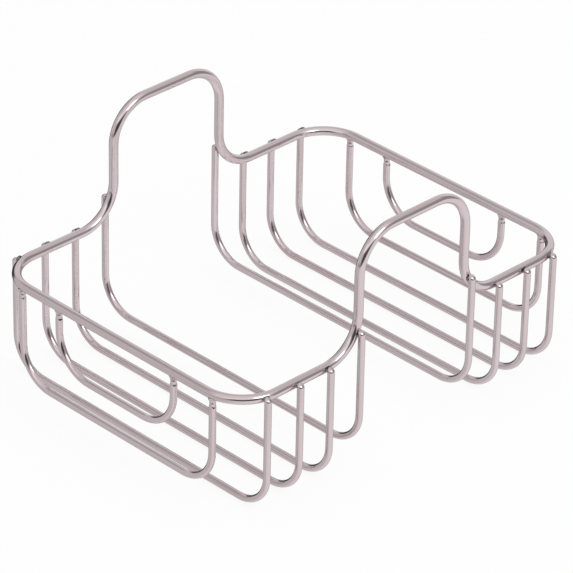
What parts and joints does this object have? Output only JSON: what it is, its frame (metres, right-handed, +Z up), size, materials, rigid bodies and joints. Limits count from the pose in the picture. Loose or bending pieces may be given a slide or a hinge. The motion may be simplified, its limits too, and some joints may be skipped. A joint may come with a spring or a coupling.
{
  "type": "sponge holder",
  "caption": "Welded wire sponge holder that hangs astride a double-sink divider, with a round-wire basket on each side.",
  "frame": {"origin": "middle of the footprint, on the level of the floor wires' undersides", "axes": "+X across the sink divider, from the left basket to the right one; +Y along the divider, towards the back of the picture; +Z up, towards the arches"},
  "size_m": [0.192, 0.1534, 0.1065],
  "materials": {
    "frame_wire": "polished",
    "basket_wire": "polished",
    "weld": "polished"
  },
  "bodies": {
    "root": {"frame_wire": "frame_wire", "left_inner_cross_wire": "basket_wire", "left_second_cross_wire": "basket_wire", "left_third_cross_wire": "basket_wire", "left_outer_cross_wire": "basket_wire", "left_long_end_wire": "basket_wire", "left_short_end_wire": "basket_wire", "right_inner_cross_wire": "basket_wire", "right_second_cross_wire": "basket_wire", "right_third_cross_wire": "basket_wire", "right_outer_cross_wire": "basket_wire", "right_long_end_wire": "basket_wire", "right_short_end_wire": "basket_wire", "left_arch_welds": "weld", "left_front_rim_welds": "weld", "left_back_rim_welds": "weld", "left_end_wire_welds": "weld", "right_arch_welds": "weld", "right_front_rim_welds": "weld", "right_back_rim_welds": "weld", "right_end_wire_welds": "weld"}
  },
  "joints": []
}
